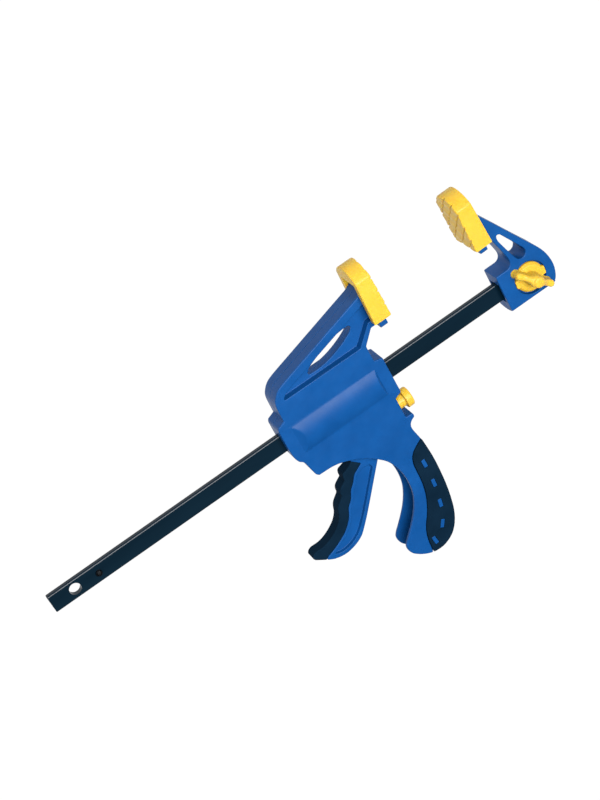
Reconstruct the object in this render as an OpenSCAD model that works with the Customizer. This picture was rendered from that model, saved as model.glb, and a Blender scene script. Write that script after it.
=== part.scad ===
// One-handed quick release bar clamp, lying on its side.
// +X runs along the bar towards the fixed jaw, +Y towards the jaw tips,
// +Z is up, towards the side with the wing knob. Millimetres.
// The origin is the centre of the round hole at the bar's free end,
// on the bar's middle plane.

/* [Bar] */
// Height of the bar, from its lower edge to its upper edge
bar_h = 20; // [19:0.5:20]
// Thickness of the bar
bar_t = 6.5; // [6:0.1:6.5]
// Chamfer on the bar's long edges
bar_chamfer = 1.2; // [0.6:0.1:2]
// Radius of the round hole at the free end
end_hole_r = 6; // [4:0.5:7]
// Distance from the end hole's centre to the bar's free end
end_hole_edge = 26; // [20:1:30]
// Distance from the end hole to the stop pin
stop_pin_x = 26; // [22:1:40]

/* [Jaws] */
// Distance from the end hole to the front of the fixed jaw
jaw_x = 488; // [470:1:488]
// Distance from the end hole to the right face of the housing, as posed
body_x = 355; // [300:1:365]
// Thickness of the fixed jaw
jaw_t = 25.6; // [24:0.2:26]
// Toe-in of the fixed jaw's pad, degrees
toe_in = 1.5; // [0:0.5:3]

/* [Housing] */
// Thickness of the two housing shells together
body_t = 27; // [26:0.5:27]
// How far the long bulge stands out of each shell
bulge_h = 3.5; // [3.5:0.1:4]
// Thickness of the arm's web between its two recesses
web_t = 12.4; // [10:0.2:14]

/* [Pads] */
// Width of a pad
pad_w = 44; // [42:1:46]
// Clearance between a pad and the plate that it slides over
pad_gap = 0.3; // [0.2:0.05:0.4]

/* [Trigger] */
// Thickness of the trigger
trigger_t = 14; // [12:0.5:14]
// Radius of the trigger's pivot pin
pivot_r = 3; // [2.5:0.1:3.2]

/* [Release] */
// Radius of the release button's cap
button_r = 10; // [8:0.5:10]
// Radius of the release button's neck
button_neck_r = 6.8; // [6:0.1:6.8]

/* [Hidden] */
$fn = 64;

BLUE = [0.10, 0.36, 0.70];
YELLOW = [0.97, 0.82, 0.22];
RUBBER = [0.09, 0.17, 0.24];
DARK = [0.07, 0.11, 0.16];
STEEL = [0.62, 0.64, 0.66];

hb = bar_h / 2;
tb = bar_t / 2;
slot_gap = 0.3;                 // bar to slot, each side
half = body_t / 2;
jhalf = jaw_t / 2;
lock_x = 31;                    // lock pin, from the jaw's front
pivot = [-62, -32];             // trigger pivot, from the housing's right face
button_y = -37.8;
brake_top = 17;                 // the brake plate tips about its upper end

// Housing, handle and arm as one outline, from the housing's right face.
body_pts = [
    [0,21], [-8.5,23.5], [-8.5,41], [4,54.5], [11.8,54.5], [11.8,49.5], [20,49.5], [20,93.5], [11.8,93.5],
    [9.5,91.5], [6,89.5], [-93.5,59.5], [-101,56.5], [-106,52], [-109.5,46.5], [-110.5,41], [-111,25.5],
    [-118.5,22.5], [-120,20], [-120.5,-4], [-120,-15], [-117.5,-21], [-115.5,-22.5], [-113.5,-25],
    [-111.5,-36], [-110,-43], [-107.5,-45.5], [-94,-46], [-86,-47.5], [-74.5,-52], [-63,-59],
    [-56.5,-64], [-50.5,-70], [-44.5,-77], [-41,-84], [-38.5,-91.5], [-37,-98], [-36,-106],
    [-36,-115], [-37.5,-126], [-42,-137], [-48,-147], [-57,-158], [-67,-168.5], [-69.5,-172.5],
    [-69.5,-178], [-67,-184], [-61,-190], [-53,-195], [-45,-197.5], [-38,-198], [-30,-196],
    [-22.5,-191.5], [-17.5,-186], [-13,-178.5], [-9,-168], [-6,-153], [-4,-138], [-3,-122],
    [-2.5,-106], [-3,-94], [-4,-81], [-5,-75.5], [-7.5,-64], [-7.5,-59.5], [-5,-55.5],
    [0,-53], [0.5,-50.5], [-0.5,-48.5], [-7.5,-48], [-7.5,-24.5], [0,-21.5]
];

// Section of the two bulges, across the bar.
bulge_pts = concat(
    [for (y = [-16:4:16]) [y, half + bulge_h * (1 - y*y/256)]],
    [for (y = [16:-4:-16]) [y, -half - bulge_h * (1 - y*y/256)]]);

// Space for the mechanism, running on into the handle's open channel.
cavity_pts = [
    [-108,19], [-14,19], [-14,-47], [-22,-52], [-24,-62], [-18,-75], [-14,-90], [-12.5,-106],
    [-13,-122], [-14.5,-138], [-19,-152], [-26,-166], [-36,-176], [-46,-180], [-55,-181],
    [-59,-185], [-60,-196], [-80,-196], [-80,-165], [-60,-150], [-45,-125], [-45,-100], [-52,-80], [-70,-62],
    [-96,-52], [-96,-34], [-108,-24]
];

// Recess in the side of the arm, and the lens-shaped window in its web.
recess_pts = [
    [-100.5,43.5], [-99,46.5], [-96,49], [-90,51.5], [6,80], [10,82], [10,61.5], [3.5,61], [-14.5,43]
];
window_pts = [
    [-67.5,47.5], [-66,47], [-58,47], [-50.5,48], [-42,50], [-34.5,52.5], [-24,56.5], [-14,61],
    [-11.5,63.5], [-11.5,65], [-13.5,66], [-24,65.5], [-32,64], [-40,61.5], [-48,59], [-56,56],
    [-64.5,52.5], [-67.5,49.5]
];

// Area that the moulded-on handle grip covers, and the blue core left under it.
grip_pts = [
    [-4,-78], [-11.5,-82], [-17,-85.5], [-21,-90.5], [-23,-97], [-23.5,-105], [-24,-121],
    [-26.5,-134.5], [-30.5,-145.5], [-36,-156.5], [-41,-164], [-44.5,-171.5], [-46.5,-180],
    [-47.5,-189.5], [-46.5,-202], [-20,-204], [6,-170], [6,-78]
];
core_pts = [
    [-60,-70], [-7,-76], [-6.5,-94], [-5.5,-106], [-6,-122], [-7,-138], [-9,-152.5], [-12,-167],
    [-15.5,-176.5], [-20,-183.5], [-25,-188.5], [-31.5,-192.5], [-38.5,-194.5], [-60,-194.5]
];
// Windows in the grip: x, y, turn in degrees.
grip_windows = [[-13.5,-104,0], [-14.5,-129,-4], [-18.5,-153,-10], [-26.5,-174.5,-32], [-41,-186,6]];

// Trigger: the line where the soft finger grip meets the blue core.
seam_pts = [
    [-66,-65.5], [-78.5,-72.5], [-82,-79], [-88,-84], [-92.5,-94], [-98.5,-99], [-102,-108],
    [-107,-114.5], [-114.5,-121.5], [-125,-127], [-133.5,-130.5], [-140,-132.5], [-142,-135]
];
trigger_back_pts = [
    [-135.5,-139], [-128,-141.5], [-119.5,-142], [-109,-139.5], [-100.5,-135], [-94.5,-128.5],
    [-88,-121], [-77.5,-108], [-67,-94.5], [-50.5,-73.5], [-44,-65], [-44,-58], [-49,-45],
    [-53.5,-33], [-70.5,-33], [-74,-45], [-74,-57.5]
];
finger_pts = [
    [-152.5,-127], [-153.5,-124], [-151.5,-121], [-148,-119.5], [-138.5,-120], [-130,-117.5],
    [-122.5,-113.5], [-115.5,-108.5], [-110.5,-101.5], [-109,-96], [-107,-92], [-103.5,-88.5],
    [-98.5,-84.5], [-98.5,-80.5], [-97,-77], [-93,-74], [-88.5,-71.5], [-88.5,-67.5],
    [-87,-63.5], [-79.5,-61.5], [-74,-57.5]
];
trigger_recess_pts = [
    [-68,-71], [-60,-72], [-58,-76.5], [-71,-93], [-81.5,-106.5], [-92,-119.5], [-98,-126],
    [-104,-131.5], [-111,-135], [-119.5,-137.5], [-127,-137], [-133,-134.5], [-124,-129.5],
    [-113,-124], [-105,-116.5], [-99.5,-109.5], [-96,-101], [-90,-96], [-85.5,-86],
    [-79.5,-81], [-76,-74.5]
];

// Fixed jaw, from its front face.
jaw_pts = [
    [0,21.5], [14,21.5], [17,23], [19,26], [19.3,30], [18,36], [15.8,44], [12.6,55.5], [9.5,57.5],
    [3,57.5], [3,91], [8.5,91], [11.3,87], [21,71.5], [31.5,54], [42,36.5], [50.5,23], [53.5,17],
    [55.8,10.5], [57.2,3], [57.5,-3], [56.5,-10], [54,-16.5], [51,-20], [1,-20], [0,-19]
];
jaw_window_pts = [
    [17.5,57], [18.5,59], [20,59], [22,58], [30,44], [35.5,34.5], [37.5,31], [38,28], [36,24.5],
    [32.5,23], [29,23.5], [26.5,26], [25,30], [21.5,40], [17.5,53]
];

// Screws that hold the shells together: x, y, depth of the far face.
screws = [[-100,31,13.5], [-22,31,13.5], [-15,-62,13.5], [-52.5,-187,13.5], [-103,-36,13.5], [-2,71,6.2]];

// ---------- shared shapes ----------

// A slab of an outline, symmetric about the middle plane.
module slab(pts, t) { linear_extrude(height = t, center = true) polygon(pts); }

// A straight-sided profile with an arched top, extruded along +X. The arch
// meets the sides at a crease, d below the top.
module arch_block(w, y0, y1, r, d, t) {
    multmatrix([[0,0,1,0],[0,1,0,0],[-1,0,0,0],[0,0,0,1]])
        linear_extrude(height = t)
            intersection() {
                translate([-w/2, y0]) square([w, y1 - y0]);
                union() {
                    translate([0, y1 - r]) circle(r, $fn = 96);
                    translate([-w/2 - 1, y0 - 1]) square([w + 2, y1 - d - y0 + 1]);
                }
            }
}

// A rod along +X.
module rod(r, x0, x1) { translate([x0,0,0]) rotate([0,90,0]) cylinder(r = r, h = x1 - x0); }

// The bar's own section, grown by g on every side, along +X.
module bar_slot(x0, x1, g = slot_gap) {
    translate([x0, -hb - g, -tb - g]) cube([x1 - x0, bar_h + 2*g, bar_t + 2*g]);
}

// Round-wire compression spring along +X, outer radius r.
module coil(r, wire, x0, x1, turns, steps = 16, sides = 8) {
    n = turns * steps;
    rm = r - wire/2;
    pitch = (x1 - x0 - wire) / turns;
    pts = [for (i = [0:n]) let (a = 360 * i / steps, x = x0 + wire/2 + pitch * i / steps)
        for (j = [0:sides-1]) let (b = 360 * j / sides, q = rm + wire/2 * cos(b))
            [x + wire/2 * sin(b), q * cos(a), q * sin(a)]];
    faces = concat(
        [[for (j = [0:sides-1]) j]],
        [for (i = [0:n-1]) for (j = [0:sides-1]) let (k = (j + 1) % sides)
            [i*sides + j, (i+1)*sides + j, (i+1)*sides + k, i*sides + k]],
        [[for (j = [sides-1:-1:0]) n*sides + j]]);
    polyhedron(points = pts, faces = faces, convexity = 8);
}

// Jaw pad, a wedge that is thicker at its open end: its front is near x = 0
// and looks along -X, its back is 17 to 20 mm behind that.
module pad() {
    g = pad_gap;
    color(YELLOW) difference() {
        intersection() {
            translate([-2,0,0]) arch_block(pad_w, 59.5, 117.3, 27, 11.4, 24);
            slab([[-0.8,59], [0.15,118], [17.1,118], [19,59]], pad_w + 10);
        }
        // room for the plate, open at the bottom
        translate([5.3 - g, 50, -16 - g]) cube([8.2 + 2*g, 44 + g, 32 + 2*g]);
        // room behind and above the plate, open at the back
        translate([5.3 - g, 50, -14.1]) cube([20, 52.3, 28.2]);
    }
}

// ---------- bar and fixed jaw ----------

module slide_bar() {
    c = bar_chamfer;
    len = end_hole_edge + jaw_x + 45;
    color(DARK) difference() {
        translate([-end_hole_edge, 0, 0])
            multmatrix([[0,0,1,0],[1,0,0,0],[0,1,0,0],[0,0,0,1]])
                linear_extrude(height = len)
                    polygon([[hb,tb-c],[hb-c,tb],[-hb+c,tb],[-hb,tb-c],[-hb,-tb+c],[-hb+c,-tb],[hb-c,-tb],[hb,-tb+c]]);
        translate([0,0,-10]) cylinder(r = end_hole_r, h = 20);
        translate([stop_pin_x,0,-10]) cylinder(r = 3.3, h = 20);
        translate([jaw_x + lock_x,0,-10]) cylinder(r = end_hole_r, h = 20);
    }
}

// Slotted spring pin that keeps the housing on the bar.
module stop_pin() {
    color(STEEL) translate([stop_pin_x,0,0]) difference() {
        translate([0,0,-5]) cylinder(r = 3.28, h = 10);
        translate([0,0,-6]) cylinder(r = 2.4, h = 12);
        rotate([0,0,-125]) translate([0,-0.4,-6]) cube([5,0.8,12]);
    }
}

module fixed_jaw() {
    color(BLUE) translate([jaw_x,0,0]) difference() {
        union() {
            slab(jaw_pts, jaw_t);
            // the underside bulges across its thickness
            intersection() {
                translate([0,11.5,0]) rod(34, 1, 50);
                translate([1,-24,-12]) cube([49,6,24]);
            }
            // plate that carries the pad
            translate([0,85,0]) rotate([0,0,toe_in]) translate([0,-85,0])
                translate([-4.6,53.3,-16]) cube([8.2,42.5,32]);
        }
        slab(jaw_window_pts, jaw_t + 2);
        bar_slot(-1, 45.6);
        // wide pocket round the bar in the front face
        translate([-1,-10.6,-9]) cube([8,21.4,18]);
        translate([lock_x,0,8.3]) cylinder(r = 17, h = 10);
        translate([lock_x,0,-9.3]) cylinder(r = end_hole_r, h = 30);
    }
}

module fixed_jaw_pad() {
    translate([jaw_x,0,0]) translate([0,85,0]) rotate([0,0,toe_in]) translate([0,-85,0])
        translate([-9.9,2.1,0]) pad();
}

// Stepped pin: the thick end passes through the jaw and the bar, and would
// fit the bar's free end in the same way. The thin end carries the knob.
module lock_pin() {
    color(STEEL) translate([jaw_x + lock_x,0,0]) {
        translate([0,0,-9]) cylinder(r = end_hole_r - 0.05, h = 17);
        translate([0,0,-9]) cylinder(r = 4.03, h = 29);
    }
}

// Wing knob: disc with two small lugs, a wing across it and a tapered boss.
module jaw_knob() {
    color(YELLOW) translate([jaw_x + lock_x,0,0]) difference() {
        union() {
            translate([0,0,8.6]) cylinder(r = 15.2, h = 5.4);
            intersection() {
                rotate([0,0,-4]) translate([-20,-4.5,9]) cube([40,9,4.7]);
                translate([0,0,8]) cylinder(r = 16.6, h = 8);
            }
            rotate([0,0,-46]) {
                translate([-18.8,-3,13]) cube([37.6,6,11]);
                for (s = [-1,1]) translate([s*18.5,0,13.4]) cylinder(r = 3.6, h = 11.2);
            }
            translate([0,0,12]) cylinder(r1 = 6.6, r2 = 4.8, h = 19);
        }
        translate([0,0,7]) cylinder(r = 4.08, h = 13.3);
    }
}

// ---------- housing ----------

// Outer form of both shells together.
module body_form() {
    difference() {
        union() {
            slab(body_pts, body_t);
            // side flanges of the plate that carries the pad
            translate([11.8,49.5,-16]) cube([8.2,44,32]);
            // long bulges over the drive spring
            intersection() {
                translate([-110,0,0]) multmatrix([[0,0,1,0],[1,0,0,0],[0,1,0,0],[0,0,0,1]])
                    linear_extrude(height = 100) polygon(bulge_pts);
                translate([0,16.5,0]) rotate([90,0,0]) linear_extrude(height = 33)
                    polygon([[-108.5,half-1],[-108.5,half],[-100.5,half+bulge_h+0.1],[-15,half+bulge_h+0.1],[-12,half],[-12,half-1],
                             [-12,-half+1],[-12,-half],[-15,-half-bulge_h-0.1],[-100.5,-half-bulge_h-0.1],[-108.5,-half],[-108.5,-half+1]]);
            }
        }
        for (s = [-1,1]) translate([0,0,s*(web_t/2 + 10)]) slab(recess_pts, 20);
        slab(window_pts, body_t + 10);
    }
}

// Everything hollow inside the housing.
module body_hollow() {
    difference() {
        union() {
            slab(cavity_pts, 21);
            translate([-108,-13.2,-13]) cube([94,26.4,26]);
        }
        // rib between the brake spring and the drive plate's run
        translate([-37,-13.2,-14]) cube([2.8,40,28]);
        // bosses beside the trigger
        for (s = [-1,1]) translate([pivot[0],pivot[1],s*10.2]) cylinder(r = 6.5, h = 5.6, center = true);
    }
    bar_slot(-125, 5);
    rod_y(button_neck_r + 0.3, -15, -5);
    translate([pivot[0],pivot[1],-12.3]) cylinder(r = pivot_r, h = 24.6);
}

module rod_y(r, x0, x1) { translate([0,button_y,0]) rod(r, x0, x1); }

// Rubber over the back of the handle, and the room it takes in the shells.
module grip_form() {
    difference() {
        linear_extrude(height = body_t, center = true)
            intersection() { polygon(body_pts); polygon(grip_pts); }
        grip_core();
    }
}
module grip_room() {
    difference() {
        slab(grip_pts, body_t + 20);
        grip_core();
    }
}
module grip_core() {
    slab(core_pts, body_t - 4);
    for (w = grip_windows) translate([w[0],w[1],-30]) rotate([0,0,w[2]])
        translate([-2.1,-4.75,0]) cube([4.2,9.5,60]);
}

module near_half() { translate([-140,-220,0]) cube([180,340,40]); }
module far_half() { translate([-140,-220,-40]) cube([180,340,40]); }

module housing_near() {
    color(BLUE) translate([body_x,0,0]) difference() {
        intersection() { body_form(); near_half(); }
        body_hollow();
        grip_room();
        for (p = screws) translate([p[0],p[1],-1]) cylinder(r = 1.55, h = (p[2] > 10 ? 10 : 6));
    }
}

module housing_far() {
    color(BLUE) translate([body_x,0,0]) difference() {
        intersection() { body_form(); far_half(); }
        body_hollow();
        grip_room();
        for (p = screws) {
            translate([p[0],p[1],-20]) cylinder(r = 1.8, h = 21);
            translate([p[0],p[1],-p[2]-10]) cylinder(r = 4, h = 13.2);
        }
    }
}

module housing_screws() {
    color(STEEL) translate([body_x,0,0]) for (p = screws) {
        top = p[2] > 10 ? 8.5 : 4.5;
        difference() {
            union() {
                translate([p[0],p[1],-p[2]+3.2-2.6]) cylinder(r = 3.5, h = 2.6);
                translate([p[0],p[1],-p[2]+3.2-1]) cylinder(r = 1.5, h = top + p[2] - 2.2);
            }
            for (a = [0,90]) translate([p[0],p[1],-p[2]+0.5]) rotate([0,0,a]) cube([4,0.8,2.6], center = true);
        }
    }
}

module handle_grip_near() { color(RUBBER) translate([body_x,0,0]) intersection() { grip_form(); near_half(); } }
module handle_grip_far() { color(RUBBER) translate([body_x,0,0]) intersection() { grip_form(); far_half(); } }

module moving_jaw_pad() { translate([body_x + 25.5,-0.3,0]) mirror([1,0,0]) pad(); }

// ---------- trigger ----------

module trigger() {
    color(BLUE) translate([body_x,0,0]) difference() {
        union() {
            slab(concat(seam_pts, trigger_back_pts), trigger_t);
            translate([pivot[0],pivot[1],0]) cylinder(r = 8.5, h = trigger_t, center = true);
            slab([[-70.5,-33],[-73.3,-17.8],[-65.5,-17],[-53.5,-33]], trigger_t);
            translate([-69.4,-17,0]) cylinder(r = 4, h = trigger_t, center = true);
        }
        for (s = [-1,1]) translate([0,0,s*(trigger_t/2 - 3.5 + 5)]) slab(trigger_recess_pts, 10);
        translate([pivot[0],pivot[1],-20]) cylinder(r = pivot_r + 0.05, h = 40);
    }
}

module trigger_grip() {
    color(RUBBER) translate([body_x,0,0])
        slab(concat(finger_pts, seam_pts), trigger_t);
}

module trigger_pin() {
    color(STEEL) translate([body_x + pivot[0],pivot[1],-12.2]) cylinder(r = pivot_r - 0.02, h = 24.4);
}

// ---------- drive and brake ----------

module drive_plate() {
    color(STEEL) translate([body_x,0,0]) difference() {
        translate([-79,-24,-9.5]) cube([5,37,19]);
        bar_slot(-80, -73, 0.35);
    }
}

module drive_spring() { color(STEEL) translate([body_x,0,0]) coil(12.6, 1.6, -107.7, -79.3, 7); }

module brake_plate() {
    color(STEEL) translate([body_x,0,0]) difference() {
        translate([-22,-43,-9.5]) cube([4,43 + brake_top,19]);
        translate([-23,-10.7,-tb-0.4]) cube([6,21.4,bar_t+0.8]);
    }
}

module brake_spring() { color(STEEL) translate([body_x,0,0]) coil(12.6, 1.4, -33.8, -22.4, 3); }

module release_button() {
    color(YELLOW) translate([body_x,0,0]) {
        rod_y(3, -17.7, -16.4);
        rod_y(8.4, -16.4, -14.4);
        rod_y(button_neck_r, -14.4, 2);
        rod_y(button_r, 1.2, 7.6);
        rod_y(button_r - 1.5, 7.6, 9.2);
    }
}

slide_bar();
stop_pin();
fixed_jaw();
fixed_jaw_pad();
lock_pin();
jaw_knob();
housing_near();
housing_far();
housing_screws();
handle_grip_near();
handle_grip_far();
moving_jaw_pad();
trigger();
trigger_grip();
trigger_pin();
drive_plate();
drive_spring();
brake_plate();
brake_spring();
release_button();
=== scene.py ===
import math

import bmesh
import bpy
from mathutils import Matrix, Vector
from mathutils.geometry import tessellate_polygon


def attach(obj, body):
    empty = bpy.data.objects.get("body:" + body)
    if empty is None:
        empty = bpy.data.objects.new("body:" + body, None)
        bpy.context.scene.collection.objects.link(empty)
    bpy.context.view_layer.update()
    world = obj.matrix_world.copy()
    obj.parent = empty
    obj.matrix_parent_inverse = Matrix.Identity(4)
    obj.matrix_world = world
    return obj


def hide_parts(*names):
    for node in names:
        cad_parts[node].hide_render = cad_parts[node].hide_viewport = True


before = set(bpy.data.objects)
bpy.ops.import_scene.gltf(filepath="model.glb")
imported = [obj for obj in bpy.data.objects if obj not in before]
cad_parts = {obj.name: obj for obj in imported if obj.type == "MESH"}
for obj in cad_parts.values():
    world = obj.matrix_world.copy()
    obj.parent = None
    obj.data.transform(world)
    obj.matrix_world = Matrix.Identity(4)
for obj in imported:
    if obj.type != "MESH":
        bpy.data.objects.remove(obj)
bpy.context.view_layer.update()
scene = bpy.context.scene
MM = 0.001
BX, JX = 355.0, 488.0  # the housing's right face and the fixed jaw's front, in mm
HALF = 13.5  # half thickness of the housing

# ---------------------------------------------------------------- outlines, mm
# The housing's outline without the handle's rubber, from its right face.
SHELL = [
    (0, 21, 1.3), (-8.5, 23.5, 1.0), (-8.5, 41, 3.0), (4, 54.5, 1.0), (19.6, 54.5, 1.4), (19.6, 93.2, 1.4), (11.8, 93.2, 1.4), (9.5, 91.5), (6, 89.5), (-93.5, 59.5), (-101, 56.5), (-106, 52), (-109.5, 46.5),
    (-110.5, 41), (-111, 25.5, 1.0), (-118.5, 22.5, 1.6), (-120, 20), (-120.5, -4), (-120, -15), (-117.5, -21),
    (-115.5, -22.5), (-113.5, -25), (-111.5, -36), (-110, -43), (-107.5, -45.5), (-94, -46), (-86, -47.5),
    (-74.5, -52), (-63, -59), (-56.5, -64), (-50.5, -70), (-44.5, -77), (-41, -84), (-38.5, -91.5), (-37, -98),
    (-36, -106), (-36, -115), (-37.5, -126), (-42, -137), (-48, -147), (-57, -158), (-67, -168.5), (-69.5, -172.5),
    (-69.5, -178), (-67, -184), (-61, -190), (-54, -194.6), (-48.3, -196.9, 1.3),
    (-47.9, -189.5), (-46.9, -180), (-44.9, -171.5), (-41.4, -164), (-36.4, -156.5), (-30.9, -145.5), (-26.9, -134.5),
    (-24.4, -121), (-23.9, -105), (-23.4, -97), (-21.4, -90.3), (-17.3, -85.1), (-11.8, -81.6), (-4.9, -77.7, 1.2),
    (-5.2, -75.5), (-7.5, -64), (-7.5, -59.5), (-5, -55.5), (0, -53), (0.5, -50.5), (-0.5, -48.5), (-7.5, -48, 0.6),
    (-7.5, -24.5, 0.6), (0, -21.5, 1.3),
]
# Rubber over the back of the handle.
GRIP = [
    (-47.7, -196.9, 1.1), (-45, -197.5), (-38, -198), (-30, -196), (-22.5, -191.5), (-17.5, -186), (-13, -178.5),
    (-9, -168), (-6, -153), (-4, -138), (-3, -122), (-2.5, -106), (-3, -94), (-4, -81), (-4.4, -78.5, 1.0),
    (-11.5, -82.1), (-17, -85.6), (-21, -90.7), (-22.9, -97), (-23.4, -105), (-23.9, -121), (-26.4, -134.5),
    (-30.4, -145.5), (-35.9, -156.5), (-40.9, -164), (-44.4, -171.5), (-46.4, -180), (-47.4, -189.5),
]
CORE = [
    (-30, -72), (-8, -77), (-7, -94), (-6, -106), (-6.5, -122), (-7.5, -138), (-9.5, -152.5), (-12.5, -167),
    (-16, -176.5), (-20.5, -183.5), (-25.5, -188), (-32, -191.5), (-39, -193.5), (-52, -193.5), (-52, -170), (-30, -140),
]
GRIP_WINDOWS = [(-13.5, -104, 0), (-14.5, -129, -4), (-18.5, -153, -10), (-26.5, -174.5, -32), (-41, -186, 6)]
CAVITY = [
    (-108, 19), (-14, 19), (-14, -47), (-22, -52), (-24, -62), (-18, -75), (-14, -90), (-12.5, -106), (-13, -122),
    (-14.5, -138), (-19, -152), (-26, -166), (-36, -176), (-46, -180), (-55, -181), (-59, -185), (-60, -196),
    (-80, -196), (-80, -165), (-60, -150), (-45, -125), (-45, -100), (-52, -80), (-70, -62), (-96, -52), (-96, -34), (-108, -24),
]
RECESS = [
    (-100.5, 43.5, 1.5), (-99, 46.5), (-96, 49), (-90, 51.5), (6, 80), (10.4, 82, 0.8), (10.4, 61.5, 1.0),
    (3.5, 61, 2.0), (-14.5, 43, 2.0),
]
WINDOW = [
    (-67.5, 47.5), (-66, 47), (-58, 46.6), (-50.5, 47.2), (-42, 48.8), (-34.5, 51), (-24, 55), (-14, 60.5), (-11.5, 63.5),
    (-11.5, 65.5), (-13.5, 66.7), (-24, 66.2), (-32, 64.7), (-40, 62.2), (-48, 59.7), (-56, 56.7), (-64.5, 53), (-67.5, 49.8),
]
SEAM = [
    (-66, -65.5), (-78.5, -72.5), (-82, -79), (-88, -84), (-92.5, -94), (-98.5, -99), (-102, -108), (-107, -114.5),
    (-114.5, -121.5), (-125, -127), (-133.5, -130.5), (-140, -132.5), (-142, -135),
]
TRIGGER_BACK = [
    (-135.5, -139, 0.8), (-128, -141.5), (-119.5, -142), (-109, -139.5), (-100.5, -135), (-94.5, -128.5), (-88, -121),
    (-77.5, -108), (-67, -94.5), (-50.5, -73.5), (-44, -65), (-44, -58), (-49, -45), (-53.5, -33), (-55.5, -27),
    (-62, -23.5), (-66.5, -13.6), (-69.4, -13), (-72.5, -14.2), (-73.3, -17.8), (-70.5, -33), (-74, -45), (-74, -57.5),
]
FINGER = [
    (-152.5, -127), (-153.5, -124), (-151.5, -121), (-148, -119.5), (-138.5, -120), (-130, -117.5), (-122.5, -113.5),
    (-115.5, -108.5), (-110.5, -101.5), (-109, -96), (-107, -92), (-103.5, -88.5), (-98.5, -84.5), (-98.5, -80.5),
    (-97, -77), (-93, -74), (-88.5, -71.5), (-88.5, -67.5), (-87, -63.5), (-79.5, -61.5), (-74, -57.5),
]
TRIGGER_RECESS = [
    (-68, -71, 1.0), (-60, -72, 1.5), (-58, -76.5, 1.5), (-71, -93), (-81.5, -106.5), (-92, -119.5), (-98, -126), (-104, -131.5),
    (-111, -135), (-119.5, -137.5), (-127, -137), (-133, -134.5, 1.0), (-124, -129.5), (-113, -124), (-105, -116.5),
    (-99.5, -109.5), (-96, -101), (-90, -96), (-85.5, -86), (-79.5, -81), (-76, -74.5),
]
JAW = [
    (0, 21.5, 1.3), (14, 21.5), (17, 23), (19, 26), (19.3, 30), (18, 36), (15.8, 44), (12.6, 55.5), (9.5, 57.5),
    (3, 57.5, 1.4), (3, 91, 1.4), (8.5, 91), (11.3, 87), (21, 71.5), (31.5, 54), (42, 36.5), (50.5, 23), (53.5, 17),
    (55.8, 10.5), (57.2, 3), (57.5, -3), (56.5, -10), (54, -16.5), (51, -20, 2.5), (0, -20, 1.6),
]
JAW_WINDOW = [
    (17.5, 57), (18.5, 59), (20, 59), (22, 58), (30, 44), (35.5, 34.5), (37.5, 31), (38, 28), (36, 24.5), (32.5, 23),
    (29, 23.5), (26.5, 26), (25, 30), (21.5, 40), (17.5, 53),
]
SCREWS = [(-100, 31, 13.5), (-22, 31, 13.5), (-15, -62, 13.5), (-52.5, -187, 13.5), (-103, -36, 13.5), (-2, 71, 6.2)]


# ---------------------------------------------------------------- mesh tools
def area(loop):
    return sum(a[0] * b[1] - b[0] * a[1] for a, b in zip(loop, loop[1:] + loop[:1])) / 2


def outline(pts, r=1.5, corner=38.0, step=7.0, move=(0, 0)):
    """A closed counter-clockwise loop: sharp corners become arcs of radius r, gentle bends become smooth curves."""
    pts = list(pts)
    if area([p[:2] for p in pts]) < 0:
        pts.reverse()
    n, out = len(pts), []
    for i in range(n):
        p0, p, p1 = (Vector(pts[k][:2]) for k in ((i - 1) % n, i, (i + 1) % n))
        a, b = p0 - p, p1 - p
        la, lb = a.length, b.length
        turn = math.pi - a.angle(b)
        if turn < 0.004:
            out.append(p)
            continue
        if len(pts[i]) > 2 or math.degrees(turn) > corner:
            rr = pts[i][2] if len(pts[i]) > 2 else r
            d = min(rr * math.tan(turn / 2), 0.48 * la, 0.48 * lb)
        else:
            d = 0.5 * min(la, lb)
        a.normalize()
        b.normalize()
        rad = d / math.tan(turn / 2)
        c = p + (a + b).normalized() * (rad / math.cos(turn / 2))
        s, e = p + a * d - c, p + b * d - c
        a0 = math.atan2(s.y, s.x)
        sweep = math.atan2(s.x * e.y - s.y * e.x, s.dot(e))
        k = max(2, math.ceil(abs(math.degrees(sweep)) / step))
        for j in range(k + 1):
            t = a0 + sweep * j / k
            out.append(c + Vector((math.cos(t), math.sin(t))) * rad)
    tidy = []
    for q in out:
        if not tidy or (q - tidy[-1]).length > 0.03:
            tidy.append(q)
    if (tidy[0] - tidy[-1]).length < 0.03:
        tidy.pop()
    return [q + Vector(move) for q in tidy]


def inset(loop, d):
    """A counter-clockwise loop moved inwards by d, or outwards where d is negative."""
    n, out = len(loop), []
    for i in range(n):
        e0, e1 = loop[i] - loop[i - 1], loop[(i + 1) % n] - loop[i]
        n0, n1 = Vector((-e0.y, e0.x)).normalized(), Vector((-e1.y, e1.x)).normalized()
        m = n0 + n1
        m = m.normalized() if m.length > 1e-6 else n0
        out.append(loop[i] + m * (d / max(0.5, m.dot(n0))))
    # corners tighter than d turn inside out; they collapse to the point where their neighbours meet
    e = [loop[(i + 1) % n] - loop[i] for i in range(n)]
    last = None
    for _ in range(20):
        back = [(out[(i + 1) % n] - out[i]).dot(e[i]) < 1e-7 for i in range(n)]
        if back == last or not any(back) or all(back):
            break
        last = back
        k, start = 0, back.index(False)
        while k < n:
            i, run = (start + k) % n, 0
            while back[(i + run) % n]:
                run += 1
            if run:
                p, q = (i - 1) % n, (i + run) % n
                a, b = out[p], out[(q + 1) % n]
                den = e[p].x * e[q].y - e[p].y * e[q].x
                x = a + e[p] * (((b - a).x * e[q].y - (b - a).y * e[q].x) / den) if abs(den) > 1e-9 else (a + b) / 2
                for j in range(run + 1):
                    out[(i + j) % n] = x.copy()
            k += run + 1
    return out


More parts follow.
